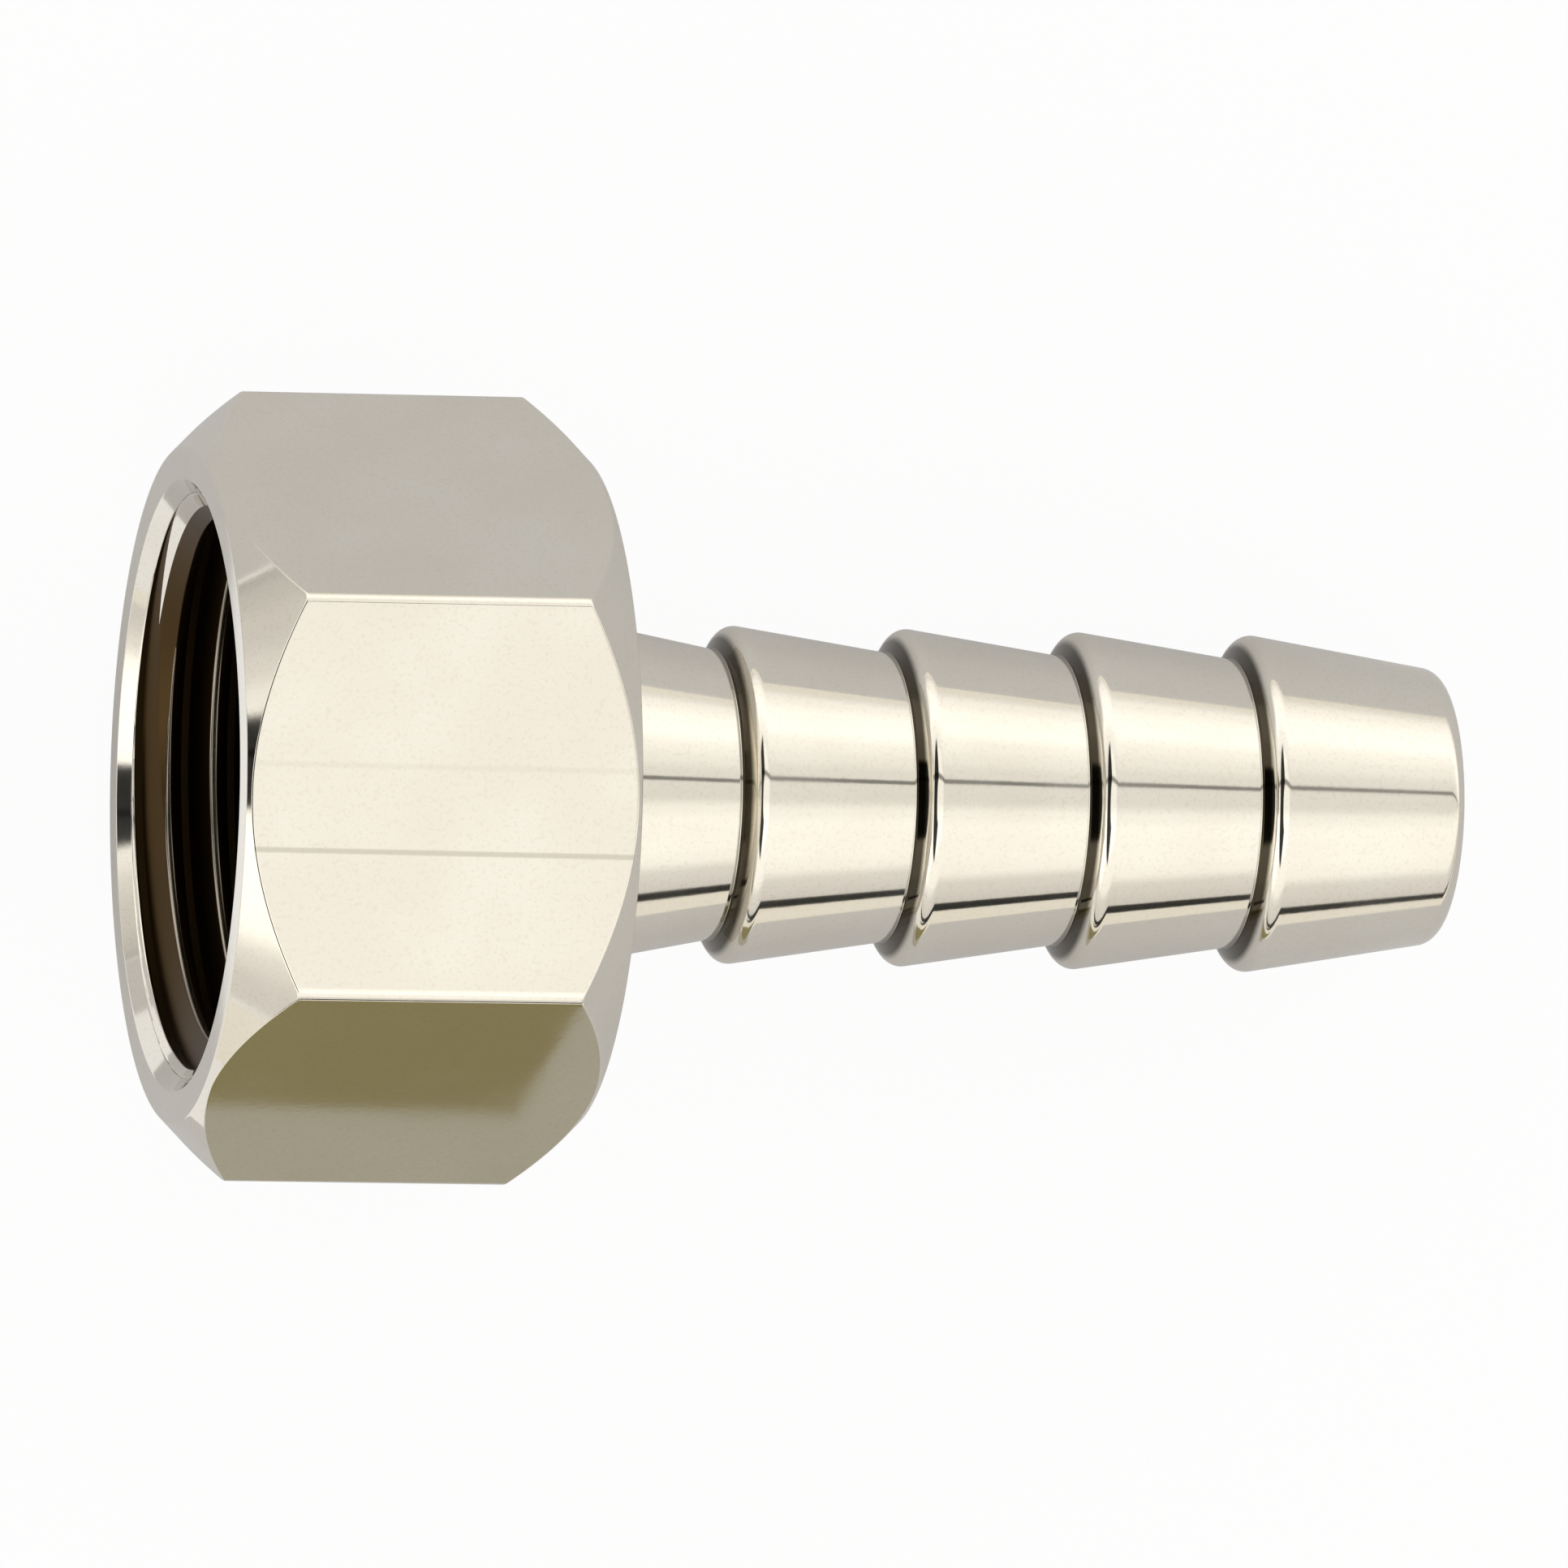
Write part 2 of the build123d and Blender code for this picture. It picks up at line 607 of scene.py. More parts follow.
@dataclass(frozen=True)
class NickelPlate:
    """Bright nickel plate, with drawn lines on the top flat, painted shade on the thread in the mouth and
    painted shade in the corners at the barbs' feet.
    """

    name: str = "plated_brass"
    colour: Colour = (0.76, 0.72, 0.64)
    pale: Colour = (0.79, 0.755, 0.68)
    pale_clouds: tuple[float, float] = (0.3, 0.7)
    cloud_scale: float = 160.0  # for each metre, as the finer scales are
    cloud_detail: float = 3.0
    roughness: float = 0.06
    roughness_spread: float = 0.035
    rough_clouds: tuple[float, float] = (0.35, 0.7)
    grain_scale: float = 2600.0
    grain_detail: float = 2.0
    grain_height: float = 0.0000012
    grain_strength: float = 0.5
    speck: Colour = (0.66, 0.61, 0.5)
    speck_scale: float = 5200.0
    speck_detail: float = 1.0
    speck_range: tuple[float, float] = (0.5, 0.75)
    speck_strength: float = 0.35
    marked: Colour = (0.46, 0.43, 0.36)
    lines: tuple[DrawnLine, ...] = (
        DrawnLine(-2.45, 0.06, 0.12, 0.6),
        DrawnLine(1.5, 0.05, 0.15, 0.132),
    )
    line_drift: float = 0.005  # sideways, for each millimetre along
    margin: float = 0.05  # from a surface to where its finish starts or ends
    # painted shade: near black brown with a brass tint, standing in for the shade and dark reflections deep
    # in the threaded mouth
    brass_and_bore_shade: Colour = (0.06, 0.036, 0.014)
    brass_roughness: float = 0.34
    bore_shade_margin: float = 0.1  # past the thread's root and its bottom
    crest_margin: float = 0.04  # over the thread's crests, which get less of the painted shade
    crest_shade_share: float = 0.62  # how much of the painted bore shade the crests still show
    cut_depth: float = 1.2  # to which the crests that the countersink cuts get no painted shade
    # painted shade: near black in the corners at the feet of the barbs' backs, standing in for the dark
    # reflections between each back and the cone before it
    corner: Colour = (0.04, 0.031, 0.017)
    corner_start: float = 0.06  # before the foot of each barb's back
    corner_fade: tuple[float, float] = (0.26, 0.44)
    corner_strength: float = 0.8
    corner_clouds: float = 0.4  # more of it where the noise is high
    corner_most: float = 0.97
    corner_end: float = 1.0  # past the foot of the last barb's back

    def noise(self, tree: Tree, place: Term, scale: float, detail: float) -> Term:
        """Noise of a place, from nought to one."""
        settings = {"Vector": place, "Scale": scale, "Detail": detail}
        return tree.value("ShaderNodeTexNoise", {}, settings)

    def own_place(self, tree: Tree, place: Term, placing: Placing) -> tuple[Term, Term, Term]:
        """Turns a place back to millimetres on the part's own axis.

        Args:
            tree: The material's tree.
            place: The place on the piece's Object coordinates.
            placing: How the part lies in the frame.

        Returns:
            How far along the axis, across it and over it the place lies.
        """
        inputs = {
            "Vector": place,
            "Location": placing.shift() * METRE,
            "Rotation": (0.0, placing.tilt, 0.0),
            "Scale": (METRE, METRE, METRE),
        }
        return tree.split(tree.value("ShaderNodeMapping", {"vector_type": "TEXTURE"}, inputs))

    def drawn(self, along: Term, across: Term, up: Term, marks: Landmarks) -> Term:
        """Strength of the drawn lines on the top flat.

        Args:
            along: The place's distance along the axis.
            across: Its distance to the side.
            up: Its height over the axis.
            marks: Where the finish changes.

        Returns:
            The strength.
        """
        beside = across + along * self.line_drift
        bands = [beside.band(line.across, line.half_width, line.soft) * line.strength for line in self.lines]
        strongest = bands[0]
        for band in bands[1:]:
            strongest = strongest.at_least(band)
        return (up > marks.flat_distance - self.margin) * strongest

    def bore_shade(self, along: Term, radius: Term, marks: Landmarks) -> Term:
        """Share of painted shade in the threaded mouth: wholly on the thread's flanks, less on its crests.

        Args:
            along: The place's distance along the axis.
            radius: Its distance from the axis.
            marks: Where the finish changes.

        Returns:
            The share of painted shade.
        """
        crest_edge = marks.thread_crest_radius + self.crest_margin
        flanks = (radius < marks.thread_root_radius + self.bore_shade_margin) * (radius > crest_edge)
        crests = (radius < crest_edge) * (radius > marks.thread_crest_radius - self.margin)
        cut = (radius + along < marks.rim_radius + self.margin) * (along < self.cut_depth)
        mouth = along < marks.mouth_depth + self.bore_shade_margin
        return (flanks + crests * self.crest_shade_share) * (1.0 - cut) * mouth

    def corner_shade(self, along: Term, cloud: Term, marks: Landmarks) -> Term:
        """Strength of the painted shade in the corners at the feet of the barbs' backs.

        Args:
            along: The place's distance along the axis.
            cloud: Soft noise.
            marks: Where the finish changes.

        Returns:
            The strength.
        """
        start = marks.first_root - self.corner_start
        past_foot = (along - start) % marks.barb_pitch
        tail = (along > start) * (along < marks.last_root + self.corner_end)
        strength = tail * (1.0 - past_foot.ramp(*self.corner_fade))
        uneven = self.corner_strength + self.corner_clouds * cloud
        return (strength * uneven).at_most(self.corner_most)

    def made(self, marks: Landmarks, placing: Placing) -> bpy.types.Material:
        """Builds the material, on each piece's Object coordinates.

        Args:
            marks: Where the finish changes.
            placing: How the part lies in the frame.

        Returns:
            The material.
        """
        material, tree = new_material(self.name)
        place = tree.value("ShaderNodeTexCoord", name="Object")
        along, across, up = self.own_place(tree, place, placing)
        radius = (across * across + up * up).root()
        grain = self.noise(tree, place, self.grain_scale, self.grain_detail)
        cloud = self.noise(tree, place, self.cloud_scale, self.cloud_detail)
        specks = self.noise(tree, place, self.speck_scale, self.speck_detail)
        bore_shade = self.bore_shade(along, radius, marks)
        roughness = self.roughness + self.roughness_spread * cloud.ramp(*self.rough_clouds)
        roughness = roughness + bore_shade * (self.brass_roughness - roughness)
        layers = [
            (specks.ramp(*self.speck_range) * self.speck_strength, self.speck),
            (self.drawn(along, across, up, marks), self.marked),
            # painted shade in the corners at the barbs' feet
            (self.corner_shade(along, cloud, marks), self.corner),
            # painted shade in the threaded mouth
            (bore_shade, self.brass_and_bore_shade),
        ]
        colour = tree.mixed(cloud.ramp(*self.pale_clouds), opaque(self.colour), opaque(self.pale))
        for share, over in layers:
            colour = tree.mixed(share, colour, opaque(over))
        relief = {"Strength": self.grain_strength, "Distance": self.grain_height, "Height": grain}
        inputs = {
            "Base Color": colour,
            "Metallic": 1.0,
            "Roughness": roughness,
            "Normal": tree.value("ShaderNodeBump", {}, relief),
        }
        shader = tree.value("ShaderNodeBsdfPrincipled", {}, inputs)
        tree.shown("ShaderNodeOutputMaterial", shader)
        return material


@dataclass(frozen=True)
class CardFinish:
    """Plain matt board of a studio card."""

    name: str
    colour: Colour

    def made(self) -> None:
        """Builds the material."""
        _, tree = new_material(self.name)
        shader = tree.value("ShaderNodeBsdfDiffuse", {}, {"Color": opaque(self.colour)})
        tree.shown("ShaderNodeOutputMaterial", shader)


@dataclass(frozen=True)
class FloorFinish:
    """White table top that keeps a faint shadow."""

    name: str = "white_table"
    colour: Colour = (0.82, 0.82, 0.82)
    glow: float = 0.94  # share of plain white where it is looked at or mirrored

    def made(self) -> None:
        """Builds the material."""
        _, tree = new_material(self.name)
        path = tree.node("ShaderNodeLightPath")
        seen = tree.out(path, "Is Camera Ray")
        for ray in ("Is Glossy Ray", "Is Transmission Ray"):
            seen = seen.at_least(tree.out(path, ray))
        matt = tree.value("ShaderNodeBsdfDiffuse", {}, {"Color": opaque(self.colour)})
        white = tree.value("ShaderNodeEmission", {}, {"Strength": 1.0})
        both = tree.value("ShaderNodeMixShader", {}, {0: seen * self.glow, 1: matt, 2: white})
        tree.shown("ShaderNodeOutputMaterial", both)


# The fitting


class Hand(Enum):
    """Which way the thread's turns run."""

    LEFT = -1
    RIGHT = 1


@dataclass
class Hexagon:
    """The spanner end: a hexagon with both faces' corners turned off."""

    across_flats: float = 32.0
    length: float = 18.65
    face_diameter: float = 31.5
    edge_rounding: float = 0.6
    lip_rounding: float = 0.2
    face_rounding: float = 0.12

    @property
    def distance(self) -> float:
        """Distance from the axis to the middle of a facet."""
        return self.across_flats / 2

    @property
    def face_radius(self) -> float:
        """Radius of the ring that each chamfer leaves."""
        return self.face_diameter / 2

    @property
    def reach(self) -> float:
        """How far a chamfer reaches along the axis at the middle of a facet."""
        return self.distance - self.face_radius

    def corners(self) -> list[Corner]:
        """From the mouth's ring, over both chamfers, to the back face."""
        return [
            Corner(0.0, self.face_radius, self.face_rounding),
            Corner(0.0, 0.0, self.lip_rounding, 1.0, 1.0),
            Corner(self.length, 0.0, self.lip_rounding, -1.0, 1.0),
            Corner(self.length, self.face_radius, self.face_rounding),
        ]


@dataclass
class Barbs:
    """The tail: a tapered neck, four barbs and the tip."""

    count: int = 4
    pitch: float = 8.31
    crest_diameter: float = 15.8
    root_diameter: float = 13.54
    back_angle: float = 67.0  # degrees between a barb's back and the axis
    rounding: float = 0.65
    root_rounding: float = 0.1
    neck_diameter: float = 16.2
    neck_length: float = 6.83
    neck_rounding: float = 0.2
    last_length: float = 9.95
    tip_diameter: float = 13.1
    tip_rounding: float = 0.9
    arc_steps: int = 12

    def length(self) -> float:
        """Length of the whole tail behind the hexagon."""
        return self.neck_length + (self.count - 1) * self.pitch + self.last_length

    def barb(self, root_along: float, end: Vector, end_rounding: float) -> list[Corner]:
        """One barb's corners: its root, its crest and the point where its cone ends.

        Args:
            root_along: Where the barb's back stands.
            end: Centre of the circle that its cone runs on to.
            end_rounding: That circle's radius, or nought.

        Returns:
            The corners, root first.
        """
        root = self.root_diameter / 2
        lean = math.radians(self.back_angle)
        crest_out = self.crest_diameter / 2 - self.rounding
        back = crest_out + self.rounding * math.cos(lean) - root
        crest_along = root_along + back / math.tan(lean) + self.rounding * math.sin(lean)
        centre = Vector((crest_along, crest_out))
        run, drop = end - centre
        fall = math.asin((self.rounding - end_rounding) / math.hypot(run, drop))
        fall -= math.atan2(drop, run)
        across_back = Vector((-math.sin(lean), math.cos(lean)))
        across_cone = Vector((math.sin(fall), math.cos(fall)))
        both = (across_back + across_cone) / (1 + across_back.dot(across_cone))
        crest = centre + both * self.rounding
        last = end + across_cone * end_rounding
        last.y -= (end.x + end_rounding - last.x) * math.tan(fall)
        return [
            Corner(root_along, root, self.root_rounding),
            Corner(crest.x, crest.y, self.rounding, steps=self.arc_steps),
            Corner(end.x + end_rounding, last.y, end_rounding, steps=self.arc_steps),
        ]

    def corners(self, hexagon_length: float) -> list[Corner]:
        """The tail's outline, from the hexagon's back face to the tip's face.

        Args:
            hexagon_length: Where the tail starts.

        Returns:
            The corners in order.
        """
        found = [Corner(hexagon_length, self.neck_diameter / 2, self.neck_rounding)]
        along = hexagon_length + self.neck_length
        for _ in range(self.count - 1):
            root = Vector((along + self.pitch, self.root_diameter / 2))
            found += self.barb(along, root, 0.0)[:2]
            along += self.pitch
        end = hexagon_length + self.length() - self.tip_rounding
        tip = Vector((end, self.tip_diameter / 2 - self.tip_rounding))
        return found + self.barb(along, tip, self.tip_rounding)


@dataclass
class Mouth:
    """The threaded mouth with its countersink, and the waterway behind it."""

    root_diameter: float = 27.24  # of the thread
    depth: float = 13.5
    bottom_rounding: float = 0.25
    rim_diameter: float = 28.5
    edge_rounding: float = 0.1
    waterway_diameter: float = 10.0
    waterway_chamfer: float = 0.5
    waterway_rounding: float = 0.12

    def corners(self, end: float) -> list[Corner]:
        """The inside, from the tip's hole back to the mouth's rim.

        Args:
            end: Where the tip's face lies.

        Returns:
            The corners in order.
        """
        bore = self.waterway_diameter / 2
        eased = bore + self.waterway_chamfer
        root = self.root_diameter / 2
        rim = self.rim_diameter / 2
        turn = self.waterway_rounding
        return [
            Corner(end, eased, turn),
            Corner(end - self.waterway_chamfer, bore, turn),
            Corner(self.depth + self.waterway_chamfer, bore, turn),
            Corner(self.depth, eased, turn),
            Corner(self.depth, root, self.bottom_rounding),
            Corner(rim - root, root, self.edge_rounding),
            Corner(0.0, rim, self.edge_rounding),
        ]


@dataclass
class Body:
    """The turned and milled body, cut from one piece of bar."""

    hexagon: Hexagon = field(default_factory=Hexagon)
    barbs: Barbs = field(default_factory=Barbs)
    mouth: Mouth = field(default_factory=Mouth)
    columns_per_facet: int = 60
    gather: float = 0.8  # how much the columns crowd towards the hexagon's corners

    def length(self) -> float:
        """Length from the mouth's ring to the tip."""
        return self.hexagon.length + self.barbs.length()

    def placing(self) -> Placing:
        """How the fitting lies: on its lower flat's rear edge and its tip's rounding."""
        flat = self.hexagon.distance
        edge = self.hexagon.length - self.hexagon.reach
        turn = self.barbs.tip_rounding
        end = self.length() - turn
        tip = self.barbs.tip_diameter / 2 - turn
        tilt = math.atan2(flat - tip, end - edge)
        tilt -= math.asin(turn / math.hypot(end - edge, flat - tip))
        front = -self.hexagon.face_radius * math.sin(tilt)
        back = end * math.cos(tilt) + tip * math.sin(tilt) + turn
        up = edge * math.sin(tilt) + flat * math.cos(tilt)
        return Placing(tilt, -(front + back) / 2, up)

    def outline(self) -> list[Corner]:
        """The whole closed outline with its rounded edges."""
        outline = Outline(self.hexagon.reach, self.hexagon.distance)
        outline.add(self.hexagon.corners())
        outline.add(self.barbs.corners(self.hexagon.length))
        outline.add(self.mouth.corners(self.length()))
        return outline.rounded()

    def facet_distance(self, shape: NodeShape, lean: Term) -> Term:
        """Distance from the axis to a facet and to the rounded corners beside it.

        Args:
            shape: The tree that the two sizes are named in.
            lean: Angle from the middle of the facet.

        Returns:
            The distance.
        """
        flat = shape.size("Facet distance", self.hexagon.distance)
        edge = shape.size("Edge rounding", self.hexagon.edge_rounding)
        centre = (flat - edge) / math.cos(HALF_FACET)
        past = HALF_FACET - abs(lean)
        limit = ((flat - edge) * math.tan(HALF_FACET) / flat).arctangent()
        on_flat = flat / lean.cosine()
        across = centre * past.sine()
        on_edge = centre * past.cosine() + (edge * edge - across * across).root()
        return on_flat + (abs(lean) > limit) * (on_edge - on_flat)

    def shape(self, finish: str, rows: int) -> NodeShape:
        """The tree that wraps the outline round the axis, over six facets.

        Args:
            finish: The material's name.
            rows: Points of the outline.

        Returns:
            The tree.
        """
        shape = NodeShape("turned_body")
        face = shape.size("Face radius", self.hexagon.face_radius)
        gather = shape.size("Gather at corners", self.gather)
        per_facet = shape.count("Columns per facet", self.columns_per_facet)
        mesh, row, column = shape.lattice(shape.count("Rows", rows), per_facet * FACETS + 1)
        facet = (column / per_facet).floor().at_most(FACETS - 1)
        spread = 2.0 * (column / per_facet - facet) - 1.0
        bent = (1.0 - gather) * spread + gather * (spread * (math.pi / 2)).sine()
        lean = bent * HALF_FACET
        angle = lean + facet * (2 * HALF_FACET) + HALF_FACET
        distance = self.facet_distance(shape, lean)
        along, _, out = shape.placed(row)
        along = along + shape.named("follow_along", row) * (distance - face)
        out = out + shape.named("follow_out", row) * distance
        position = shape.tree.joined(along, out * angle.cosine(), out * angle.sine())
        shape.close(mesh, position, False, finish)
        return shape

    def build(self, finish: str) -> bpy.types.Object:
        """Makes the body's piece.

        Args:
            finish: The material's name.

        Returns:
            The piece, in metres, in the frame.
        """
        points = self.outline()
        source = point_mesh("body_outline", points)
        shape = self.shape(finish, len(points) + 1)
        return shape.built(source, "fitting_body", self.placing())


@dataclass
class MouthThread:
    """The thread in the mouth, a ridge that stands on the mouth's wall."""

    pitch: float = 2.209
    crest_diameter: float = 24.5
    crest_width: float = 0.28
    root_width: float = 0.34
    hand: Hand = Hand.LEFT
    crest_below: float = 2.04  # along the axis, where a crest passes under it
    first_turn: float = -1.25  # from that crest
    turns: float = 5.6
    run_in: float = 0.02  # turns over which the ridge rises at the mouth
    run_out: float = 0.5  # turns over which it sinks at the bottom
    rows_per_turn: int = 170
    flank_steps: int = 14
    flank_share: float = 0.93  # of the flank, up to where the crest's rounding starts
    crest_drops: tuple[float, float] = (0.04, 0.006)  # of the rounding's two points
    crest_lean: float = 0.035  # of the lower one past the crest's width, over the lean
    crest_inset: float = 0.75  # of the upper one, times the crest's half width
    sunk: float = 0.18  # how far the ridge's foot reaches into the wall
    ring_gap: float = 0.1  # from the ridge to the plane of the mouth's ring
    tuck: float = 0.14  # how far what the countersink cuts off goes into the wall
    tuck_margin: float = 0.004

    def section(self, mouth: Mouth) -> list[Corner]:
        """The ridge's section: along is its offset, out its height over the root.

        Args:
            mouth: The mouth whose wall it stands on.

        Returns:
            The section's points.
        """
        height = (mouth.root_diameter - self.crest_diameter) / 2
        foot = (self.pitch - self.root_width) / 2
        crest = self.crest_width / 2
        lean = (foot - crest) / height
        low_drop, high_drop = self.crest_drops
        points = [(-(foot + lean * self.sunk), -self.sunk)]
        for step in range(self.flank_steps + 1):
            share = step / self.flank_steps * self.flank_share
            points.append((-foot + (foot - crest) * share, height * share))
        points.append((-crest - lean * self.crest_lean, height - low_drop))
        points.append((-crest * self.crest_inset, height - high_drop))
        points.append((0.0, height))
        points += [(-offset, rise) for offset, rise in reversed(points[:-1])]
        return [Corner(offset, rise) for offset, rise in points]

    def shape(self, mouth: Mouth, finish: str, columns: int) -> NodeShape:
        """The tree that winds the section round the axis, and cuts it at the countersink.

        Args:
            mouth: The mouth that it lies in.
            finish: The material's name.
            columns: Points of the section.

        Returns:
            The tree.
        """
        shape = NodeShape("mouth_thread")
        pitch = shape.size("Pitch", self.pitch)
        root = shape.size("Root radius", mouth.root_diameter / 2)
        rim = shape.size("Rim radius", mouth.rim_diameter / 2)
        sunk = shape.size("Sunk", self.sunk)
        run_in = shape.size("Run-in turns", self.run_in)
        run_out = shape.size("Run-out turns", self.run_out)
        turns = shape.size("Turns", self.turns)
        per_turn = shape.count("Rows per turn", self.rows_per_turn)
        rows = shape.count("Rows", int(self.rows_per_turn * self.turns) + 1)
        mesh, row, column = shape.lattice(rows, shape.count("Columns", columns))
        offset, _, height = shape.placed(column)
        turned = row / per_turn
        fade = (turned / run_in).at_most(1.0)
        fade = fade * ((turns - turned) / run_out).at_most(1.0).at_least(0.0)
        angle = (turned + self.first_turn) * (math.tau * self.hand.value) + DOWN
        middle = (turned + self.first_turn) * pitch + self.crest_below
        along = (middle + offset * fade).at_least(self.ring_gap)
        countersink = rim - along
        out = (root + sunk - (height + sunk) * fade).at_least(countersink)
        out = out + (countersink > root - self.tuck_margin) * self.tuck
        position = shape.tree.joined(along, out * angle.cosine(), out * angle.sine())
        shape.close(mesh, position, self.hand is Hand.RIGHT, finish)
        return shape

    def build(self, mouth: Mouth, finish: str, placing: Placing) -> bpy.types.Object:
        """Makes the thread's piece.

        Args:
            mouth: The mouth that it lies in.
            finish: The material's name.
            placing: Where the part lies.

        Returns:
            The piece, in metres, in the frame.
        """
        points = self.section(mouth)
        source = point_mesh("thread_section", points)
        shape = self.shape(mouth, finish, len(points) + 1)
        return shape.built(source, "mouth_thread", placing)


@dataclass
class Fitting:
    """The whole fitting: its body and the thread in its mouth."""

    body: Body = field(default_factory=Body)
    thread: MouthThread = field(default_factory=MouthThread)
    plate: NickelPlate = field(default_factory=NickelPlate)

    def landmarks(self) -> Landmarks:
        """Where the plate's finish changes."""
        body = self.body
        first_root = body.hexagon.length + body.barbs.neck_length
        return Landmarks(
            flat_distance=body.hexagon.distance,
            thread_root_radius=body.mouth.root_diameter / 2,
            thread_crest_radius=self.thread.crest_diameter / 2,
            rim_radius=body.mouth.rim_diameter / 2,
            mouth_depth=body.mouth.depth,
            first_root=first_root,
            last_root=first_root + (body.barbs.count - 1) * body.barbs.pitch,
            barb_pitch=body.barbs.pitch,
        )

    def build(self) -> None:
        """Builds and declares both pieces."""
        placing = self.body.placing()
        finish = self.plate.made(self.landmarks(), placing).name
        body = self.body.build(finish)
        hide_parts("hose_tail")
        thread = self.thread.build(self.body.mouth, finish, placing)
        for piece in (body, thread):
            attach(piece, "root")
            LOG.info("%s: %d faces", piece.name, len(piece.data.polygons))


# Studio


def rectangle(left: float, low: float, right: float, high: float) -> Points:
    """Corners of a rectangle on the floor."""
    return [(left, low), (right, low), (right, high), (left, high)]


class Card(Enum):
    """The matt finishes of the studio's cards."""

    GREY = CardFinish("grey_card", (0.65, 0.65, 0.675))
    DIM = CardFinish("dim_card", (0.46, 0.445, 0.385))
    BROWN = CardFinish("brown_card", (0.28, 0.25, 0.135))
    WHITE = CardFinish("white_card", (0.95, 0.93, 0.88))
    BLACK = CardFinish("black_card", (0.03, 0.03, 0.03))


@dataclass(frozen=True)
class Board:
    """A card that lies on the floor, over those of the lower layers."""

    name: str
    card: Card
    layer: int
    outline: Points


BOARDS = (
    Board(
        "grey_board",
        Card.GREY,
        1,
        [(-0.04, -0.069), (1.0, -0.069), (1.0, 1.0), (-1.0, 1.0), (-1.0, 0.012), (-0.04, 0.012)],
    ),
    Board("white_board", Card.WHITE, 1, rectangle(-1.0, -1.0, 1.0, -0.069)),
    Board("black_board", Card.BLACK, 2, rectangle(-0.2, -3.0, 2.0, -0.3)),
    Board("far_board", Card.WHITE, 2, rectangle(-0.2, 0.2, 2.0, 3.0)),
    Board("dim_board", Card.DIM, 2, rectangle(-0.034, -0.1, 0.002, -0.036)),
    Board(
        "brown_board",
        Card.BROWN,
        3,
        [(-0.05, -0.13), (0.0388, -0.13), (-0.00845, -0.0481), (-0.05, -0.0642)],
    ),
)


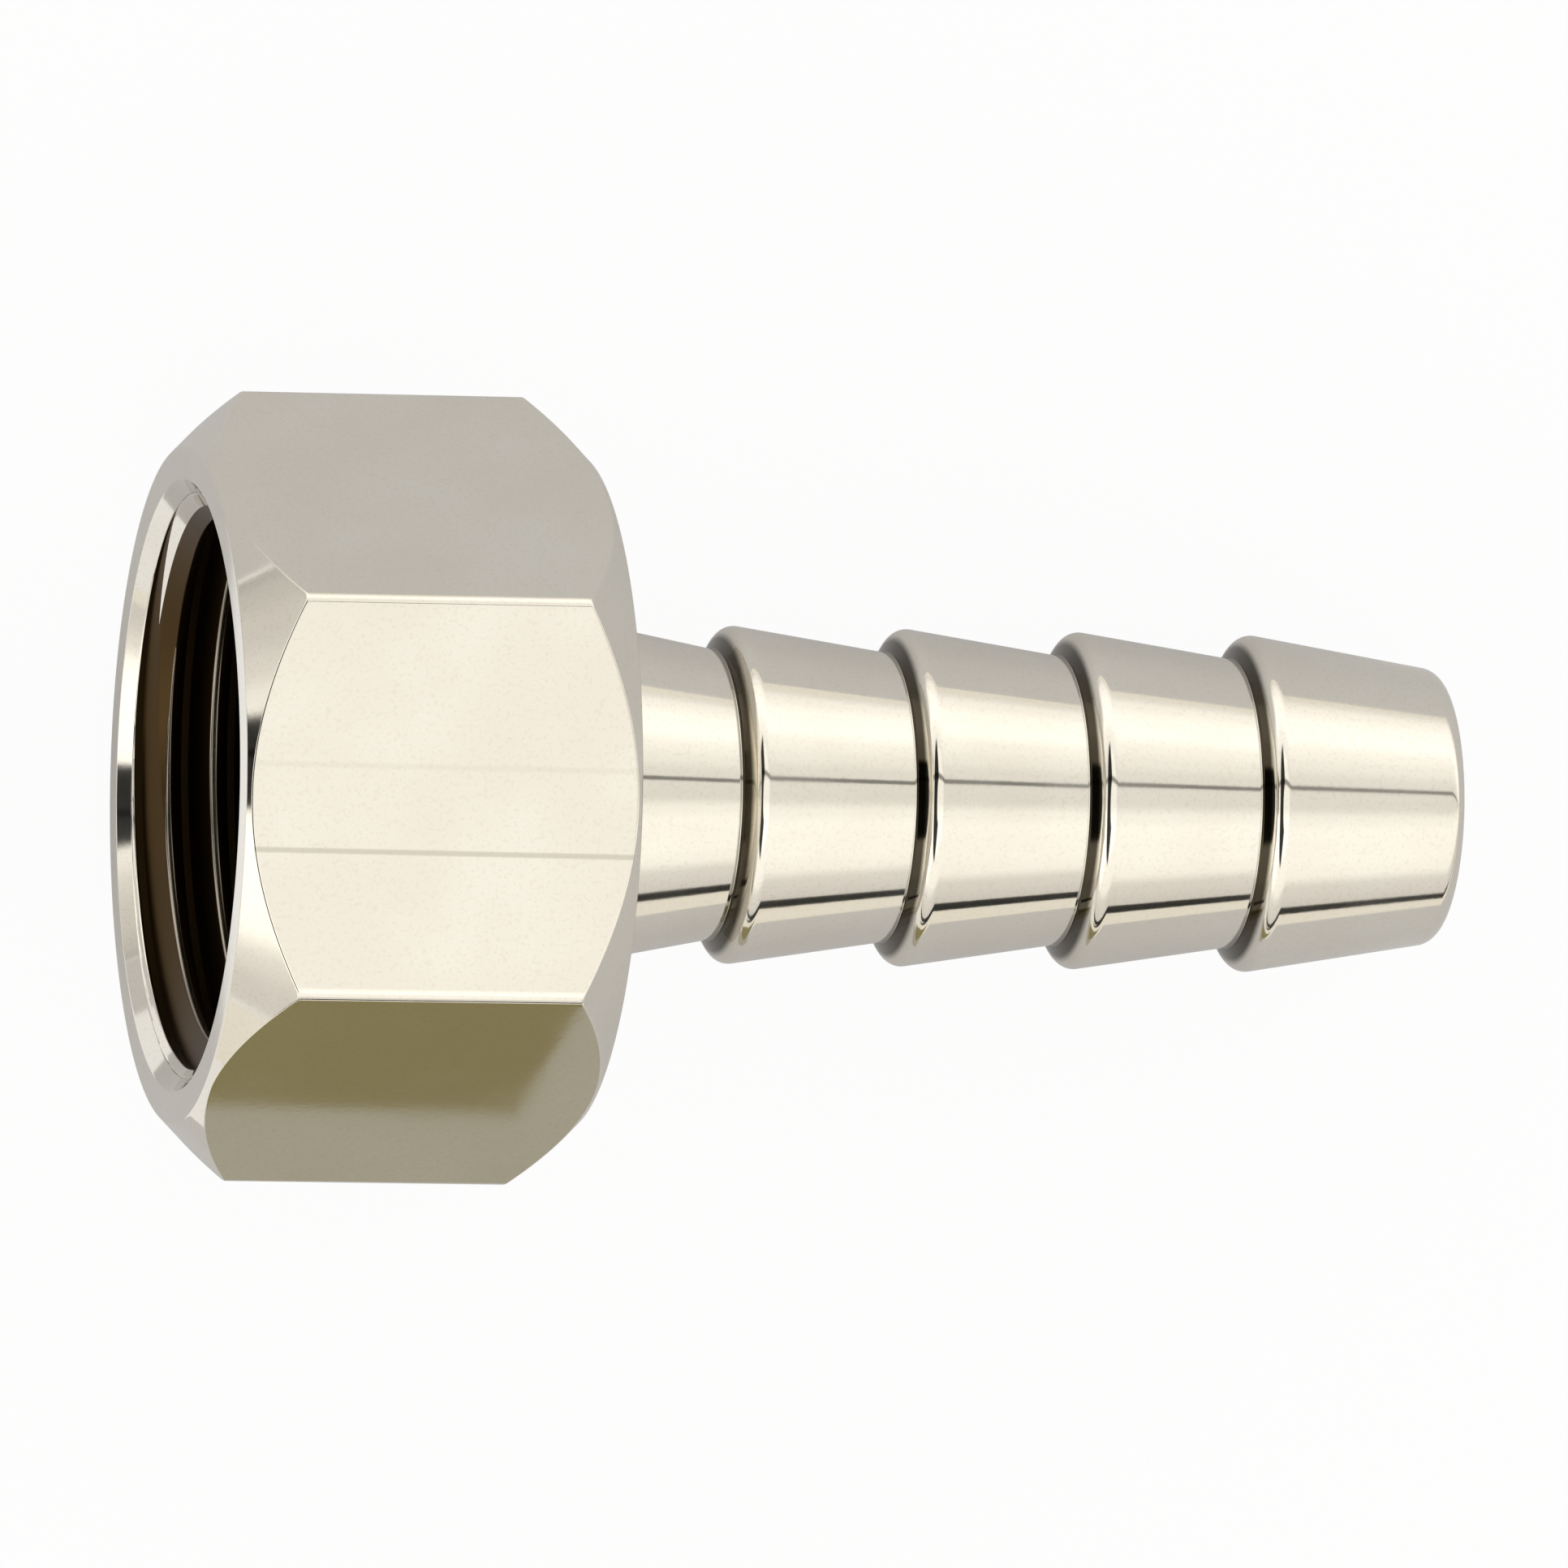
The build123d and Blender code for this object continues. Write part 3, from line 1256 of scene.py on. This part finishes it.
@dataclass(frozen=True)
class Tent:
    """The soft tent round the set, whose tones the metal mirrors.

    Angles are degrees over the floor. Those of the curves are seen along the
    part, and the others from its middle. Each curve has angles and tones, each
    band its middle, half width and soft edge, and each range its two ends.
    """

    far_tones: Points = (
        (0, 1.0), (6, 1.22), (18, 1.4), (30, 1.45), (42, 1.25), (54, 1.13), (66, 0.98), (90, 0.94),
    )
    near_tones: Points = (
        (3, 0.8), (18, 0.9), (30, 1.22), (42, 1.27), (54, 1.27), (66, 1.29), (78, 1.2), (90, 0.94),
    )
    far_seam: tuple[float, float, float] = (73.5, 1.3, 1.2)
    far_seam_depth: float = 0.75
    gap: tuple[float, float, float] = (0.8, 2.1, 0.8)  # between the near wall and the floor
    gap_sides: tuple[float, float] = (0.65, 0.8)
    gap_depth: float = 0.95
    top_range: tuple[float, float] = (50.0, 60.0)
    top_gain: float = 0.24
    mouth_range: tuple[float, float] = (0.55, 0.8)  # the side that the mouth looks at
    mouth_light: tuple[float, float, float] = (28.0, 12.0, 12.0)
    mouth_light_sides: tuple[float, float] = (0.1, 0.4)
    mouth_light_gain: float = 0.25
    mouth_shade_sides: tuple[float, float] = (0.15, 0.4)
    mouth_shade_range: tuple[float, float] = (12.0, 24.0)
    mouth_shade_depth: float = 0.45
    opening: tuple[float, float, float] = (61.0, 12.0, 3.0)  # dark, over the mouth
    opening_range: tuple[float, float] = (0.15, 0.35)
    slot: tuple[float, float, float] = (24.0, 8.0, 3.0)  # dark, in front of the mouth
    slot_sides: tuple[float, float, float] = (0.09, 0.15, 0.04)
    dark_depth: float = 0.97
    low_colour: Colour = (1.0, 0.97, 0.93)
    high_colour: Colour = (1.0, 0.985, 0.94)
    colour_range: tuple[float, float] = (0.0, 30.0)

    def walls(self, height: Term, near: Term, side: Term) -> Term:
        """Tones of the two walls along the part.

        Args:
            height: Angle over the floor, seen along the part.
            near: One on the side at the picture's foot, and nought on the far side.
            side: How far the direction turns to the far side, from -1 to 1.

        Returns:
            The tone.
        """
        far_tone = height.through(self.far_tones)
        far_tone = far_tone * (1.0 - self.far_seam_depth * height.band(*self.far_seam))
        near_tone = height.through(self.near_tones)
        gap = height.band(*self.gap) * (-side).ramp(*self.gap_sides)
        near_tone = near_tone * (1.0 - self.gap_depth * gap)
        return far_tone + near * (near_tone - far_tone)

    def front(self, rise: Term, fore: Term, side: Term) -> Term:
        """What the tones are multiplied by on the side that the mouth looks at.

        Args:
            rise: Angle over the floor.
            fore: How far the direction turns to the tip's side, from -1 to 1.
            side: How far it turns to the far side.

        Returns:
            The factor.
        """
        mouth = (-fore).ramp(*self.mouth_range)
        light = mouth * rise.band(*self.mouth_light) * (1.0 - side.ramp(*self.mouth_light_sides))
        shade = mouth * side.ramp(*self.mouth_shade_sides)
        shade = shade * (1.0 - rise.ramp(*self.mouth_shade_range))
        dark = (-fore).ramp(*self.opening_range) * rise.band(*self.opening)
        dark = dark.at_least(mouth * rise.band(*self.slot) * side.band(*self.slot_sides))
        lit = (1.0 + self.mouth_light_gain * light) * (1.0 - self.mouth_shade_depth * shade)
        return lit * (1.0 - self.dark_depth * dark)

    def build(self) -> None:
        """Makes the tent the scene's world, plain white where the camera looks at it."""
        world = bpy.data.worlds.new("light_tent")
        bpy.context.scene.world = world
        world.use_nodes = True
        world.node_tree.nodes.clear()
        tree = Tree(world.node_tree)
        x, y, z = tree.split(tree.value("ShaderNodeTexCoord", name="Generated"))
        reach = (x * x + y * y).root().at_least(FAINT)
        rise = (z / reach).arctangent() * DEGREES
        height = (z / abs(y).at_least(FAINT)).arctangent() * DEGREES
        side = y / reach
        level = self.walls(height, y < 0.0, side) * self.front(rise, x / reach, side)
        level = level * (1.0 + self.top_gain * rise.ramp(*self.top_range))
        warmth = rise.ramp(*self.colour_range)
        colour = tree.mixed(warmth, opaque(self.low_colour), opaque(self.high_colour))
        seen = tree.value("ShaderNodeLightPath", name="Is Camera Ray")
        tent = tree.value("ShaderNodeBackground", {}, {"Color": colour, "Strength": level})
        plain = {"Color": opaque((1.0, 1.0, 1.0)), "Strength": 1.0}
        white = tree.value("ShaderNodeBackground", {}, plain)
        both = tree.value("ShaderNodeMixShader", {}, {0: seen, 1: tent, 2: white})
        tree.shown("ShaderNodeOutputWorld", both)


@dataclass(frozen=True)
class CameraStand:
    """The camera, which looks down on the fitting as the photograph does."""

    distance: float = 1.1
    view_width: float = 0.07343
    sensor_width: float = 36.0  # millimetres
    target: tuple[float, float, float] = (-0.00007, 0.00052, 0.012)
    lean_y: float = 1.44  # degrees from straight down, as the next two are
    lean_x: float = 0.17
    roll: float = 1.33
    clip_start: float = 0.05
    clip_end: float = 20.0

    def build(self) -> None:
        """Places the camera and makes it the scene's own."""
        data = bpy.data.cameras.new("camera")
        data.sensor_width = self.sensor_width
        data.lens = data.sensor_width * self.distance / self.view_width
        data.clip_start = self.clip_start
        data.clip_end = self.clip_end
        camera = bpy.data.objects.new("camera", data)
        bpy.context.scene.collection.objects.link(camera)
        lean = math.radians(self.lean_y)
        back = Vector((-math.sin(math.radians(self.lean_x)), math.sin(lean), math.cos(lean)))
        back.normalize()
        right = Vector((0.0, 1.0, 0.0)).cross(back).normalized()
        up = back.cross(right)
        frame = Matrix((right, up, back)).transposed()
        turned = frame @ Euler((0.0, 0.0, math.radians(self.roll))).to_matrix()
        camera.rotation_mode = "QUATERNION"
        camera.rotation_quaternion = turned.to_quaternion()
        camera.location = Vector(self.target) + back * self.distance
        bpy.context.scene.camera = camera


@dataclass
class Studio:
    """White table, soft tent, cards that the metal mirrors, and the camera."""

    layer: float = 0.00002  # between two boards that lie on each other
    floor_half: float = 3.0
    floor: FloorFinish = field(default_factory=FloorFinish)
    tent: Tent = field(default_factory=Tent)
    stand: CameraStand = field(default_factory=CameraStand)

    def plane(self, name: str, outline: Points, height: float, finish: str) -> bpy.types.Object:
        """A flat sheet that lies level.

        Args:
            name: Its name.
            outline: Its corners in order.
            height: Its height over the floor.
            finish: Its material's name.

        Returns:
            The sheet, declared as stage.
        """
        mesh = bpy.data.meshes.new(name)
        mesh.from_pydata([(x, y, height) for x, y in outline], [], [tuple(range(len(outline)))])
        mesh.materials.append(bpy.data.materials[finish])
        sheet = bpy.data.objects.new(name, mesh)
        bpy.context.scene.collection.objects.link(sheet)
        sheet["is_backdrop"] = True
        return sheet

    def lay(self, board: Board) -> None:
        """Lays a board, which only the metal's reflections see.

        Args:
            board: The board.
        """
        height = board.layer * self.layer
        sheet = self.plane(board.name, board.outline, height, board.card.value.name)
        sheet.visible_camera = False
        sheet.visible_shadow = False
        sheet.visible_diffuse = False

    def build(self) -> None:
        """Builds the floor, the boards, the light and the camera."""
        self.floor.made()
        for card in Card:
            card.value.made()
        half = self.floor_half
        self.plane("floor", rectangle(-half, -half, half, half), 0.0, self.floor.name)
        for board in BOARDS:
            self.lay(board)
        self.tent.build()
        self.stand.build()
        LOG.info("studio: floor, %d boards, tent and camera", len(BOARDS))


def keep_size(moment: str, sizes: dict[str, list[list[float]]]) -> None:
    """Args:
        moment: When it was measured.
        sizes: The boxes noted so far, which this one joins.
    """
    low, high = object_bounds()
    sizes[moment] = [list(low), list(high)]


def main() -> None:
    """Loads the frame, then builds the fitting and its studio."""
    logging.basicConfig(level=logging.INFO, format="%(message)s")
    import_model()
    sizes: dict[str, list[list[float]]] = {}
    keep_size("cad", sizes)
    bpy.context.scene.view_settings.view_transform = "Standard"
    Fitting().build()
    Studio().build()
    keep_size("shown", sizes)


if __name__ == "__main__":
    main()
